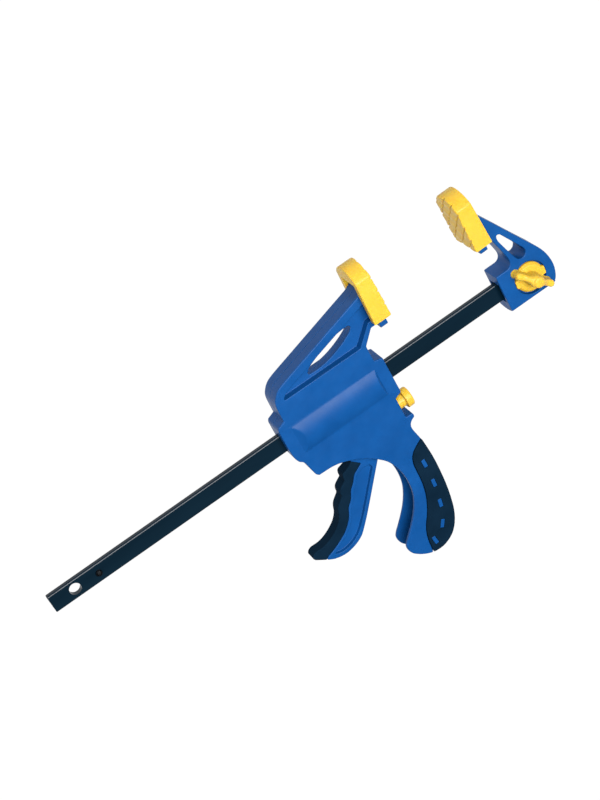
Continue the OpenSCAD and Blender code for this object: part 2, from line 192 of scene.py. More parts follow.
class Shape:
    """Vertices in mm and faces, joined loop by loop."""

    def __init__(self):
        self.v, self.f = [], []

    def loop(self, pts, z):
        i = len(self.v)
        self.v += [(p[0], p[1], z) for p in pts]
        return list(range(i, len(self.v)))

    def band(self, a, b):
        n = len(a)
        for i in range(n):
            j = (i + 1) % n
            self.f.append((a[i], a[j], b[j], b[i]))

    def cap(self, outer, holes=()):
        if not holes:
            self.f.append(tuple(outer))
            return
        rings = [outer, *holes]
        flat = [i for r in rings for i in r]
        for t in tessellate_polygon([[Vector(self.v[i]) for i in r] for r in rings]):
            self.f.append(tuple(flat[k] for k in t))

    def grid(self, rows):
        ids = []
        for r in rows:
            i = len(self.v)
            self.v += list(r)
            ids.append(list(range(i, len(self.v))))
        for a, b in zip(ids, ids[1:]):
            for k in range(len(a) - 1):
                self.f.append((a[k], a[k + 1], b[k + 1], b[k]))
        return ids


def arc(r, k=4):
    """Steps of a rounded edge: (how far in, how far below the top)."""
    return [(r * (1 - math.cos(t)), r * (1 - math.sin(t))) for t in (math.pi / 2 * j / k for j in range(k + 1))]


def rise(shape, pts, z0, z1, edge=1.0, foot=None, k=4):
    """Walls of an outline from z0 up to z1 with a rounded upper edge and a small chamfer at the foot. Returns the first and last rings."""
    rings = []
    if foot:
        rings.append(shape.loop(inset(pts, foot), z0))
        rings.append(shape.loop(pts, z0 + foot))
    else:
        rings.append(shape.loop(pts, z0))
    for i, h in arc(edge, k):
        rings.append(shape.loop(inset(pts, i), z1 - h))
    for a, b in zip(rings, rings[1:]):
        shape.band(a, b)
    return rings[0], rings[-1]


def sink(shape, pts, z1, z0, edge=0.8, floor=0.8, k=3, slope=0.0):
    """Walls of a hole from z1 down to z0: rounded mouth, and a rounded floor edge if floor is given. Returns the top and bottom rings."""
    rings = []
    for i, h in reversed(arc(edge, k)):
        rings.append(shape.loop(inset(pts, -i), z1 - h))
    if floor:
        steps = [(slope + floor * (1 - math.cos(t)), floor * (1 - math.sin(t))) for t in (math.pi / 2 * j / k for j in range(k + 1))]
        for i, h in steps:
            rings.append(shape.loop(inset(pts, i), z0 + h))
    else:
        rings.append(shape.loop(inset(pts, slope), z0))
    for a, b in zip(rings, rings[1:]):
        shape.band(a, b)
    return rings[0], rings[-1]


def circle(x, y, r, n=64):
    return [Vector((x + r * math.cos(2 * math.pi * i / n), y + r * math.sin(2 * math.pi * i / n))) for i in range(n)]


def to_mesh(shape, name, matrix=None):
    me = bpy.data.meshes.new(name)
    me.from_pydata([tuple(c * MM for c in v) for v in shape.v], [], shape.f)
    bm = bmesh.new()
    bm.from_mesh(me)
    bmesh.ops.remove_doubles(bm, verts=bm.verts, dist=2e-6)
    bmesh.ops.dissolve_degenerate(bm, edges=bm.edges, dist=1e-6)
    bmesh.ops.recalc_face_normals(bm, faces=bm.faces)
    if matrix:
        bmesh.ops.transform(bm, matrix=matrix, verts=bm.verts)
        if matrix.determinant() < 0:
            bmesh.ops.reverse_faces(bm, faces=bm.faces)
    bm.to_mesh(me)
    bm.free()
    o = bpy.data.objects.new(name, me)
    scene.collection.objects.link(o)
    return o


def carve(obj, cutters, how="DIFFERENCE"):
    """Cuts the cutters out of obj, or joins them to it, and removes them."""
    for batch in ([c] for c in cutters) if how == "UNION" else [cutters]:
        group = bpy.data.collections.new("cutters")
        for c in batch:
            group.objects.link(c)
        m = obj.modifiers.new("cut", "BOOLEAN")
        m.operation, m.solver, m.operand_type, m.collection = how, "EXACT", "COLLECTION", group
        dg = bpy.context.evaluated_depsgraph_get()
        me = bpy.data.meshes.new_from_object(obj.evaluated_get(dg))
        obj.modifiers.clear()
        bm = bmesh.new()
        bm.from_mesh(me)
        bmesh.ops.remove_doubles(bm, verts=bm.verts, dist=1e-6)
        bmesh.ops.dissolve_degenerate(bm, edges=bm.edges, dist=5e-7)
        bm.to_mesh(me)
        bm.free()
        old = obj.data
        obj.data = me
        bpy.data.meshes.remove(old)
        for c in batch:
            bpy.data.objects.remove(c)
        bpy.data.collections.remove(group)
    return obj


def prism(pts, z0, z1, name="cutter", matrix=None):
    s = Shape()
    a, b = s.loop(pts, z0), s.loop(pts, z1)
    s.band(a, b)
    s.cap(a)
    s.cap(b)
    return to_mesh(s, name, matrix)


def block(lo, hi, name="cutter"):
    return prism([Vector((lo[0], lo[1])), Vector((hi[0], lo[1])), Vector((hi[0], hi[1])), Vector((lo[0], hi[1]))], lo[2], hi[2], name)


def soft_block(lo, hi, r, edge, name="cutter", matrix=None):
    """A block with rounded upright corners and rounded top and bottom edges."""
    s = Shape()
    pts = outline([(lo[0], lo[1], r), (hi[0], lo[1], r), (hi[0], hi[1], r), (lo[0], hi[1], r)])
    rings = [s.loop(inset(pts, i), lo[2] + h) for i, h in reversed(arc(edge, 3))] + [s.loop(inset(pts, i), hi[2] - h) for i, h in arc(edge, 3)]
    for a, b in zip(rings, rings[1:]):
        s.band(a, b)
    s.cap(rings[0])
    s.cap(rings[-1])
    return to_mesh(s, name, matrix)


def lathe(profile, name, matrix=None, n=72):
    """Turns (radius, height) points round +Z. The ends close on the axis."""
    s = Shape()
    rings = [s.loop(circle(0, 0, r, n), z) for r, z in profile if r > 0.01]
    for a, b in zip(rings, rings[1:]):
        s.band(a, b)
    for ring, (r, z) in ((rings[0], profile[0]), (rings[-1], profile[-1])):
        s.v.append((0, 0, z))
        for i in range(n):
            s.f.append((ring[i], ring[(i + 1) % n], len(s.v) - 1))
    return to_mesh(s, name, matrix)


def finish_piece(obj, mats, body, node=None, angle=33, weight=True):
    me = obj.data
    me.materials.clear()
    for m in mats if isinstance(mats, (list, tuple)) else [mats]:
        me.materials.append(m)
    me.shade_smooth()
    me.set_sharp_from_angle(angle=math.radians(angle))
    if weight:
        w = obj.modifiers.new("normals", "WEIGHTED_NORMAL")
        w.keep_sharp = True
        w.weight = 60
    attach(obj, body)
    if node:
        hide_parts(*([node] if isinstance(node, str) else node))
    return obj


# ---------------------------------------------------------------- materials
def srgb(r, g, b):
    return tuple((c / 255 / 12.92) if c / 255 <= 0.04045 else ((c / 255 + 0.055) / 1.055) ** 2.4 for c in (r, g, b)) + (1.0,)


def material(name):
    m = bpy.data.materials.new(name)
    m.use_nodes = True
    return m, m.node_tree, m.node_tree.nodes["Principled BSDF"]


def noise(nt, scale, detail=2.0, rough=0.5, stretch=None, vec=None):
    t = nt.nodes.new("ShaderNodeTexNoise")
    t.inputs["Scale"].default_value = scale
    t.inputs["Detail"].default_value = detail
    t.inputs["Roughness"].default_value = rough
    co = nt.nodes.new("ShaderNodeTexCoord").outputs["Object"]
    if stretch:
        mp = nt.nodes.new("ShaderNodeMapping")
        mp.inputs["Scale"].default_value = stretch
        nt.links.new(co, mp.inputs["Vector"])
        co = mp.outputs["Vector"]
    nt.links.new(co, t.inputs["Vector"])
    return t.outputs["Fac"]


def spread(nt, fac, lo, hi, to_lo, to_hi):
    r = nt.nodes.new("ShaderNodeMapRange")
    r.inputs["From Min"].default_value, r.inputs["From Max"].default_value = lo, hi
    r.inputs["To Min"].default_value, r.inputs["To Max"].default_value = to_lo, to_hi
    nt.links.new(fac, r.inputs["Value"])
    return r.outputs["Result"]


def blend_colours(nt, fac, a, b):
    m = nt.nodes.new("ShaderNodeMix")
    m.data_type = "RGBA"
    nt.links.new(fac, m.inputs["Factor"])
    m.inputs["A"].default_value, m.inputs["B"].default_value = a, b
    return m.outputs["Result"]


def bumped(nt, b, layers):
    """layers: (height output, distance in metres, strength)."""
    prev = None
    for h, dist, strength in layers:
        u = nt.nodes.new("ShaderNodeBump")
        u.inputs["Distance"].default_value = dist
        u.inputs["Strength"].default_value = strength
        nt.links.new(h, u.inputs["Height"])
        if prev:
            nt.links.new(prev, u.inputs["Normal"])
        prev = u.outputs["Normal"]
    nt.links.new(prev, b.inputs["Normal"])


def moulded(name, dark, light, rough, grain=1500.0, grain_d=0.00002, spec=0.5, sss=0.0, swing=0.05):
    """Moulded plastic or rubber: faint flow mottling, fine grain, roughness that varies a little."""
    m, nt, b = material(name)
    c = blend_colours(nt, spread(nt, noise(nt, 38, 4, 0.6), 0.3, 0.7, 0, 1), dark, light)
    nt.links.new(c, b.inputs["Base Color"])
    nt.links.new(spread(nt, noise(nt, 90, 3), 0.3, 0.7, rough - swing, rough + swing), b.inputs["Roughness"])
    b.inputs["Specular IOR Level"].default_value = spec
    if sss:
        b.inputs["Subsurface Weight"].default_value = sss
        b.inputs["Subsurface Radius"].default_value = (1.0, 0.6, 0.2)
        b.inputs["Subsurface Scale"].default_value = 0.004
    bumped(nt, b, [(noise(nt, 160, 2), 0.0002, 0.12), (noise(nt, grain, 2, 0.7), grain_d, 0.7)])
    return m


BLUE = moulded("blue_moulded_plastic", srgb(6, 59, 113), srgb(10, 66, 123), 0.4, 1200, 0.00005, 0.13)
YELLOW = moulded("yellow_moulded_plastic", srgb(192, 155, 46), srgb(197, 162, 54), 0.38, 1200, 0.00001, 0.2, 0.45, 0.04)
RUBBER = moulded("grip_rubber", srgb(7, 24, 38), srgb(11, 30, 46), 0.75, 2200, 0.00002, 0.05)
RUBBER.node_tree.nodes["Principled BSDF"].inputs["IOR"].default_value = 1.2


def steel_bar():
    m, nt, b = material("blackened_bar_steel")
    c = blend_colours(nt, spread(nt, noise(nt, 30, 4, 0.6, (0.2, 1, 1)), 0.3, 0.7, 0, 1), srgb(3, 19, 30), srgb(6, 25, 37))
    nt.links.new(c, b.inputs["Base Color"])
    nt.links.new(spread(nt, noise(nt, 60, 3, 0.5, (0.15, 1, 1)), 0.3, 0.7, 0.15, 0.21), b.inputs["Roughness"])
    b.inputs["Specular IOR Level"].default_value = 0.25
    bumped(nt, b, [(noise(nt, 900, 2, 0.5, (0.02, 1, 1)), 0.00001, 0.25), (noise(nt, 140, 2), 0.0001, 0.08)])
    return m


def bright_steel(name, dark, light, rough, stretch=(1, 1, 1)):
    m, nt, b = material(name)
    c = blend_colours(nt, spread(nt, noise(nt, 220, 3, 0.6, stretch), 0.3, 0.7, 0, 1), dark, light)
    nt.links.new(c, b.inputs["Base Color"])
    b.inputs["Metallic"].default_value = 1.0
    nt.links.new(spread(nt, noise(nt, 300, 3, 0.6, stretch), 0.3, 0.7, rough - 0.06, rough + 0.06), b.inputs["Roughness"])
    bumped(nt, b, [(noise(nt, 1200, 2, 0.5, stretch), 0.00001, 0.3)])
    return m


BAR = steel_bar()
ZINC = bright_steel("zinc_plated_steel", srgb(150, 152, 154), srgb(190, 190, 188), 0.34)
SPRING = bright_steel("spring_steel", srgb(96, 98, 102), srgb(130, 132, 136), 0.3, (0.3, 1, 1))
PLATE = bright_steel("hardened_plate_steel", srgb(70, 70, 74), srgb(104, 102, 100), 0.38, (1, 0.1, 1))
PIN = bright_steel("black_spring_pin_steel", srgb(12, 15, 19), srgb(26, 30, 36), 0.4)


# ---------------------------------------------------------------- bar
def make_bar():
    prof = outline([(-10, -3.25, 2.0), (10, -3.25, 2.0), (10, 3.25, 2.0), (-10, 3.25, 2.0)], step=10)
    s = Shape()
    rings = []
    for x, d in ((-26, 0.6), (-25.4, 0.0), (532.4, 0.0), (533, 0.6)):
        i = len(s.v)
        s.v += [(x, p.x, p.y) for p in inset(prof, d)]
        rings.append(list(range(i, len(s.v))))
    for a, b in zip(rings, rings[1:]):
        s.band(a, b)
    s.cap(rings[0])
    s.cap(rings[-1])
    o = to_mesh(s, "bar_body")
    cut = [prism(circle(0, 0, 6, 72), -6, 6), prism(circle(26, 0, 3.3, 48), -6, 6), prism(circle(519, 0, 6, 64), -6, 6)]
    for sgn in (1, -1):
        c = Shape()
        rr = [c.loop(circle(0, 0, r, 72), z * sgn) for r, z in ((5.9, 2.7), (6.55, 3.35), (7.5, 4.3))]
        for a, b in zip(rr, rr[1:]):
            c.band(a, b)
        c.cap(rr[0])
        c.cap(rr[-1])
        cut.append(to_mesh(c, "cutter"))
    carve(o, cut)
    finish_piece(o, BAR, "bar", "slide_bar", 40)
    # spring pin with its slit
    n = 40
    gap = math.radians(9)
    a0 = math.radians(-125) + gap
    angles = [a0 + (2 * math.pi - 2 * gap) * i / n for i in range(n + 1)]
    ring = [Vector((26 + 3.28 * math.cos(a), 3.28 * math.sin(a))) for a in angles] + [
        Vector((26 + 2.35 * math.cos(a), 2.35 * math.sin(a))) for a in reversed(angles)]
    s = Shape()
    rings = [s.loop(inset(ring, i), -5 + h) for i, h in reversed(arc(0.22, 3))] + [s.loop(inset(ring, i), 5 - h) for i, h in arc(0.22, 3)]
    for a, b in zip(rings, rings[1:]):
        s.band(a, b)
    s.cap(rings[0])
    s.cap(rings[-1])
    finish_piece(to_mesh(s, "spring_pin"), PIN, "bar", "stop_pin", 40)


# ---------------------------------------------------------------- fixed jaw
def make_fixed_jaw():
    pts = outline(JAW, 1.5, move=(JX, 0))
    win = outline(JAW_WINDOW, 1.5, move=(JX, 0))
    s = Shape()
    h = 12.8
    knob = circle(JX + 31, 0, 17, 96)
    hole = circle(JX + 31, 0, 6, 48)
    # walls with both long edges rounded
    rings = [s.loop(inset(pts, i), -h + t) for i, t in reversed(arc(1.1, 4))] + [s.loop(inset(pts, i), h - t) for i, t in arc(1.1, 4)]
    for a, b in zip(rings, rings[1:]):
        s.band(a, b)
    # window through
    wr = [s.loop(inset(win, -i), -h + t) for i, t in arc(0.8, 3)] + [s.loop(inset(win, -i), h - t) for i, t in reversed(arc(0.8, 3))]
    wr = [s.loop(inset(win, -0.8), -h)] + [s.loop(inset(win, -(0.8 * (1 - math.sin(t)))), -h + 0.8 * (1 - math.cos(t))) for t in (0.52, 1.05, 1.57)]
    wr += [s.loop(inset(win, -(0.8 * (1 - math.cos(t)))), h - 0.8 * (1 - math.sin(t))) for t in (0.0, 0.52, 1.05, 1.5708)]
    for a, b in zip(wr, wr[1:]):
        s.band(a, b)
    top_k, bot_k = sink(s, knob, h, 8.3, 0.6, 0.5)
    hr = s.loop(hole, 8.3)
    hb = s.loop(hole, -9.3)
    s.band(hr, hb)
    s.cap(hb)
    s.cap(bot_k, [hr])
    s.cap(rings[-1], [wr[-1], top_k])
    s.cap(rings[0], [wr[0]])
    o = to_mesh(s, "fixed_jaw_body")
    # plate that carries the pad
    turn = Matrix.Translation(Vector((JX, 85, 0)) * MM) @ Matrix.Rotation(math.radians(1.5), 4, "Z") @ Matrix.Translation(Vector((-JX, -85, 0)) * MM)
    m = turn @ Matrix.Translation(Vector((JX, 0, 0)) * MM)
    rot = Matrix(((0, 0, 1, 0), (1, 0, 0, 0), (0, 1, 0, 0), (0, 0, 0, 1)))  # outline in (y, z), height along x
    s = Shape()
    face = outline([(53.3, -16, 2.2), (95.8, -16, 1.0), (95.8, 16, 1.0), (53.3, 16, 2.2)])
    rr = [s.loop(inset(face, i), -4.6 + t) for i, t in reversed(arc(0.6, 2))] + [s.loop(inset(face, i), 3.6 - t) for i, t in arc(0.6, 2)]
    for a, b in zip(rr, rr[1:]):
        s.band(a, b)
    s.cap(rr[0])
    s.cap(rr[-1])
    plate = to_mesh(s, "cutter", m @ rot)
    # the underside bulges across its thickness
    s = Shape()
    rings = []
    for x, k in ((0.25, 0.72), (0.6, 0.88), (1.3, 1.0), (42.0, 1.0), (47.0, 0.8), (50.0, 0.45), (52.0, 0.0)):
        i = len(s.v)
        s.v += [(JX + x, -19.9 - 2.5 * k * (1 - (z / 11.9) ** 2), z) for z in (11.9 * (-1 + j / 14) for j in range(29))]
        s.v += [(JX + x, -17.0, z) for z in (11.0, 4.0, -4.0, -11.0)]
        rings.append(list(range(i, len(s.v))))
    for a, b in zip(rings, rings[1:]):
        s.band(a, b)
    s.cap(rings[0])
    s.cap(rings[-1])
    carve(o, [plate, to_mesh(s, "cutter")], "UNION")
    carve(o, [block((JX - 3, -10.35, -3.6), (JX + 45.6, 10.35, 3.6)), block((JX - 3, -10.35, -9), (JX + 7, 10.8, 9))])
    finish_piece(o, BLUE, "bar", "fixed_jaw")


# ---------------------------------------------------------------- pads
def soft_min(p, q, k):
    t = max(0.0, min(1.0, 0.5 + 0.5 * (q - p) / k))
    return q * (1 - t) + p * t - k * t * (1 - t)


def pad_edge(y, z):
    """How far a point of the pad's face is from its outline."""
    d = min(22 - abs(z), y - 59.5)
    if y > 90.3:
        d = min(d, 27 - math.hypot(y - 90.3, z))
    return max(d, 0.0)


def groove(t, pitch, half, depth):
    """A soft V groove every pitch."""
    u = abs((t / pitch) % 1.0 - 0.5) * pitch
    u = abs(u - 0.5 * pitch)
    return depth * max(0.0, 1 - u / half) ** 0.8 if u < half else 0.0


def pad_front(y, z, r=1.1):
    """Depth of the pad's front below its foremost plane."""
    d = pad_edge(y, z)
    x = -0.8 + 0.0161 * (y - 59)
    x += 0.5 * (z / 22) ** 2 + 0.7 * max(0.0, abs(y - 88) / 29.5 - 0.2) ** 2
    q = (y - z - 66.7) / math.sqrt(2)
    w = y + 0.367 * z - 89.2
    u = abs((q / 10.7) % 1.0 - 0.5) * 2  # 1 in a groove, 0 in the middle of a band
    x += 0.5 * u ** 2.5 + groove(q, 10.7, 0.95, 1.2)
    # shallow ridges across the bands, which end in small notches at the edge
    x += groove(w, 15.13, 7.565, 0.75) + (groove(w, 15.13, 0.8, 0.4) if d < 1.8 else 0.0)
    if d < r:
        x += r - math.sqrt(max(0.0, r * r - (r - d) ** 2))
    return x


def make_pad(name, matrix, body, node):
    """The pad, a wedge with its front near x = 0 looking along -X and its back 17 to 20 mm behind that."""
    s = Shape()
    ys = [59.5, 59.62, 59.85, 60.15, 60.5] + [60.5 + 0.42 * i for i in range(1, 136)]
    ys = [y for y in ys if y < 116.4] + [116.4, 116.7, 116.95, 117.12, 117.23, 117.3]
    us = [-1 + 2 * i / 110 for i in range(111)]
    us = [-1, -0.997, -0.99, -0.975] + [u for u in us if abs(u) < 0.965] + [0.975, 0.99, 0.997, 1]

    def width(y):
        return 22.0 if y < 95 else soft_min(22.0, math.sqrt(max(0.0, 27 ** 2 - (y - 90.3) ** 2)), 0.8)

    rows = [[(pad_front(y, width(y) * u), y, width(y) * u) for u in us] for y in ys]
    ids = s.grid(rows)
    border = ids[0] + [r[-1] for r in ids[1:]] + list(reversed(ids[-1][:-1])) + [r[0] for r in reversed(ids[1:-1])]
    ring2 = [Vector((s.v[i][1], s.v[i][2])) for i in border]
    tidy_ids, tidy = [], []
    for i, p in zip(border, ring2):
        if not tidy or (p - tidy[-1]).length > 0.004:
            tidy_ids.append(i)
            tidy.append(p)
    turned = area([tuple(p) for p in tidy]) < 0
    if turned:
        tidy_ids.reverse()
        tidy.reverse()

    def ring(d, x, lean=0.0):
        i = len(s.v)
        s.v += [(x - lean * (p.x - 59), max(p.x, 59.5 + d), max(d - 22, min(22 - d, p.y))) for p in inset(tidy, d)]
        return list(range(i, len(s.v)))

    rings = [tidy_ids, ring(0, 5.0)] + [ring(i, 19.0 - h, 0.0322) for i, h in arc(1.0, 3)]
    for a, b in zip(rings, rings[1:]):
        s.band(a, b)
    s.cap(rings[-1])
    o = to_mesh(s, name, matrix)
    rot = Matrix(((0, 0, 1, 0), (1, 0, 0, 0), (0, 1, 0, 0), (0, 0, 0, 1)))
    # the pocket behind the front wall, open at the back
    pocket = outline([(50, -14, 0.3), (102.3, -14, 0.8), (102.3, 14, 0.8), (50, 14, 0.3)])
    c1 = prism(pocket, 5.3, 22, "cutter", matrix @ rot)
    room = outline([(50, -16.4, 0.3), (94.2, -16.4, 0.6), (94.2, 16.4, 0.6), (50, 16.4, 0.3)])
    c2 = prism(room, 5.0, 13.8, "cutter", matrix @ rot)
    carve(o, [c1, c2])
    finish_piece(o, YELLOW, body, node, 30, weight=False)


def make_pads():
    turn = Matrix.Translation(Vector((JX, 85, 0)) * MM) @ Matrix.Rotation(math.radians(1.5), 4, "Z") @ Matrix.Translation(Vector((-JX, -85, 0)) * MM)
    make_pad("fixed_pad_body", turn @ Matrix.Translation(Vector((JX - 9.9, 2.1, 0)) * MM), "bar", "fixed_jaw_pad")
    flip = Matrix.Translation(Vector((BX + 25.5, -0.3, 0)) * MM) @ Matrix.Scale(-1, 4, (1, 0, 0))
    make_pad("moving_pad_body", flip, "housing", "moving_jaw_pad")


# ---------------------------------------------------------------- knob
def make_knob():
    cx = JX + 31
    place = Matrix.Translation(Vector((cx, 0, 0)) * MM)
    prof = [(0, 8.6), (14.6, 8.6), (15.2, 9.2), (15.2, 10.9), (15.05, 11.35), (14.75, 11.75), (13.15, 13.35), (12.75, 13.65), (12.2, 13.85), (9, 13.95), (0, 14.0)]
    disc = lathe(prof, "knob_body", place, 96)
    parts = []
    for a in (-4, 176):
        parts.append(soft_block((8, -4.5, 9.2), (16.5, 4.5, 13.6), 1.8, 1.1, "cutter", place @ Matrix.Rotation(math.radians(a), 4, "Z")))
    # wing: a ridge that widens where it meets the boss, with rounded lobes and a crowned top
    s = Shape()
    wing = []
    for sgn in (1, -1):
        for i in range(25):
            t = math.radians(-90 + 7.5 * i)
            wing.append(Vector((18.4 + 3.6 * math.cos(t), 3.6 * math.sin(t))) * sgn)
        for i in range(1, 40):
            x = 18.4 - 36.8 * i / 40
            w = 3.1 + 0.5 * (abs(x) / 18.4) ** 2
            a = abs(x) - 4.0
            w += 2.9 * max(0.0, 1 - a / 6.0) ** 2 if a > 0 else 2.9
            wing.append(Vector((x, w)) * sgn)
    levels = [(-0.9, 12.9), (-0.5, 13.7), (-0.2, 14.9), (0.0, 16.6), (0.0, 20.4), (0.2, 21.7), (0.6, 22.7), (1.2, 23.4), (1.9, 23.8), (2.6, 23.9)]
    rings = []
    for d, z in levels:
        ring = s.loop(inset(wing, d), z)
        for i in ring:  # the ridge climbs towards the boss
            x, y, h = s.v[i]
            t = max(0.0, min(1.0, (abs(x) - 3.5) / 11.5))
            s.v[i] = (x, y, h + 5.6 * ((z - 12.9) / 11.0) * (1 - t * t * (3 - 2 * t)))
        rings.append(ring)
    for a, b in zip(rings, rings[1:]):
        s.band(a, b)
    s.cap(rings[0])
    r = rings[-1]
    pairs = [(r[12 + j], r[12 - j]) for j in range(13)] + [(r[25 + k], r[127 - k]) for k in range(39)] + [(r[64 + j], r[88 - j]) for j in range(13)]
    for (a, b), (c, d) in zip(pairs, pairs[1:]):
        s.f.append(tuple(dict.fromkeys((a, c, d, b))))
    parts.append(to_mesh(s, "cutter", place @ Matrix.Rotation(math.radians(-46), 4, "Z")))
    boss = [(0, 12.0), (7.0, 12.0), (6.6, 18.0), (6.2, 24.0), (5.6, 28.0)] + [(5.5 - 2.2 * (1 - math.cos(t)), 28.6 + 2.2 * math.sin(t)) for t in (0.2, 0.5, 0.8, 1.2, 1.5708)] + [(0, 31.0)]
    parts.append(lathe(boss, "cutter", place))
    carve(disc, parts, "UNION")
    carve(disc, [prism(circle(cx, 0, 4.08, 48), 7, 20.3)])
    finish_piece(disc, YELLOW, "knob", "jaw_knob", 38)


# ---------------------------------------------------------------- housing
def bulge_height(x, y, x0=-108.5, x1=-12.0):
    """Height of the long bulge over the flat side."""
    a = abs(y)
    h = 3.5 * (1 - (a / 16) ** 2) if a < 16 else 0.0
    l, r = (x - x0) * 3.5 / 8.0, (x1 - x) * 3.5 / 3.0
    k = 0.35

    def smin(p, q):
        t = max(0.0, min(1.0, 0.5 + 0.5 * (q - p) / k))
        return q * (1 - t) + p * t - k * t * (1 - t)

    v = smin(smin(h, l), r)
    return max(0.0, v)


def make_shell(side):
    name = "near" if side > 0 else "far"
    flip = Matrix.Scale(side, 4, (0, 0, 1))
    place = Matrix.Translation(Vector((BX, 0, 0)) * MM) @ flip
    pts = outline(SHELL, 1.5)
    s = Shape()
    foot, top = rise(s, pts, 0.0, HALF, 1.1, 0.35)
    s.cap(foot)
    # arm recess with the lens-shaped window
    rec, win = outline(RECESS, 1.5), outline(WINDOW, 1.5)
    r_top, r_bot = sink(s, rec, HALF, 6.2, 0.7, 0.6, slope=0.5)
    w_top = s.loop(inset(win, -0.8), 6.2)
    w_rings = [w_top] + [s.loop(inset(win, -0.8 * (1 - math.sin(t))), 6.2 - 0.8 * (1 - math.cos(t))) for t in (0.52, 1.05, 1.5708)]
    w_rings += [s.loop(win, 0.35), s.loop(inset(win, -0.35), 0.0)]
    for a, b in zip(w_rings, w_rings[1:]):
        s.band(a, b)
    s.cap(r_bot, [w_top])
    # the long bulge, on a base cut out of the flat side
    xs = [-108.5 + 0.5 * i for i in range(25)] + [-96 + 4 * i for i in range(1, 19)] + [-20 + 0.5 * i for i in range(17)]
    ys = [-16 + 1.0 * i for i in range(33)]
    rows = [[(x, y, HALF + bulge_height(x, y)) for x in xs] for y in ys]
    ids = s.grid(rows)
    base = ids[0] + [r[-1] for r in ids[1:]] + list(reversed(ids[-1][:-1])) + [r[0] for r in reversed(ids[1:-1])]
    # foot was capped above as a whole; its window needs a hole, so the cap is remade
    s.f = [f for f in s.f if f != tuple(foot)]
    s.cap(foot, [w_rings[-1]])
    s.cap(top, [r_top, base])
    o = to_mesh(s, "shell_" + name, place)
    join = [
        to_mesh_prism(outline(CORE, 1.5), 0.05, 10.7, place),
        plate_half(place),
    ]
    carve(o, join, "UNION")
    cut = [
        prism(outline(CAVITY, 2.0), -2, 10.5, "cutter", place),
        prism([Vector((-125, -10.35)), Vector((5, -10.35)), Vector((5, 10.35)), Vector((-125, 10.35))], -2, 3.6, "cutter", place),
        prism([Vector((-108, -13.2)), Vector((-14, -13.2)), Vector((-14, 13.2)), Vector((-108, 13.2))], -2, 12.6, "cutter", place),
        rod_x(7.1, -15, -5, -37.8, 0),
    ]
    if side < 0:
        for x, y, z in SCREWS:
            cut.append(prism(circle(x, y, 4, 32), z - 3.2, z + 6, "cutter", place))
            cut.append(prism(circle(x, y, 1.8, 24), -1, z + 6, "cutter", place))
    carve(o, cut)
    finish_piece(o, BLUE, "housing", "housing_" + name)
    # blue blocks that show through the rubber's windows
    for i, (x, y, a) in enumerate(GRIP_WINDOWS):
        m = place @ Matrix.Translation(Vector((x, y, 0)) * MM) @ Matrix.Rotation(math.radians(a), 4, "Z")
        w = soft_block((-2.0, -4.6, 10.8), (2.0, 4.6, HALF - 0.15), 0.5, 0.35, "grip_window_%s_%d" % (name, i + 1), m)
        finish_piece(w, BLUE, "housing")


def to_mesh_prism(pts, z0, z1, m):
    return prism(pts, z0, z1, "cutter", m)


def plate_half(place):
    """Half of the plate that carries the moving pad."""
    s = Shape()
    face = outline([(49.5, 0.02, 0.45), (93.5, 0.02, 0.45), (93.5, 16, 1.0), (49.5, 16, 2.2)])
    rr = [s.loop(inset(face, i), 11.95 + t) for i, t in reversed(arc(0.35, 2))] + [s.loop(inset(face, i), 20 - t) for i, t in arc(0.35, 2)]
    for a, b in zip(rr, rr[1:]):
        s.band(a, b)
    s.cap(rr[0])
    s.cap(rr[-1])
    rot = Matrix(((0, 0, 1, 0), (1, 0, 0, 0), (0, 1, 0, 0), (0, 0, 0, 1)))
    return to_mesh(s, "cutter", place @ rot)


def rod_x(r, x0, x1, y, z):
    m = Matrix.Translation(Vector((BX + x0, y, z)) * MM) @ Matrix.Rotation(math.radians(90), 4, "Y")
    return prism(circle(0, 0, r, 64), 0, x1 - x0, "cutter", m)


def make_grip(side):
    name = "near" if side > 0 else "far"
    place = Matrix.Translation(Vector((BX, 0, 0)) * MM) @ Matrix.Scale(side, 4, (0, 0, 1))
    pts = outline(GRIP, 1.2)
    s = Shape()
    foot, top = rise(s, pts, 0.0, HALF + 0.15, 0.9, 0.3)
    holes_top, holes_foot = [], []
    for x, y, a in GRIP_WINDOWS:
        c, sn = math.cos(math.radians(a)), math.sin(math.radians(a))
        w = outline([(x + c * u - sn * v, y + sn * u + c * v, 0.7) for u, v in ((-2.25, -4.9), (2.25, -4.9), (2.25, 4.9), (-2.25, 4.9))])
        t, b = sink(s, w, HALF + 0.15, 0.0, 0.35, 0)
        holes_top.append(t)
        holes_foot.append(b)
    s.cap(top, holes_top)
    s.cap(foot, holes_foot)
    o = to_mesh(s, "grip_" + name, place)
    inner = outline([(p[0] + 0.3, p[1]) for p in CORE], 1.5)
    carve(o, [prism(inner, -2, 10.75, "cutter", place)])
    finish_piece(o, RUBBER, "housing", "handle_grip_" + name)


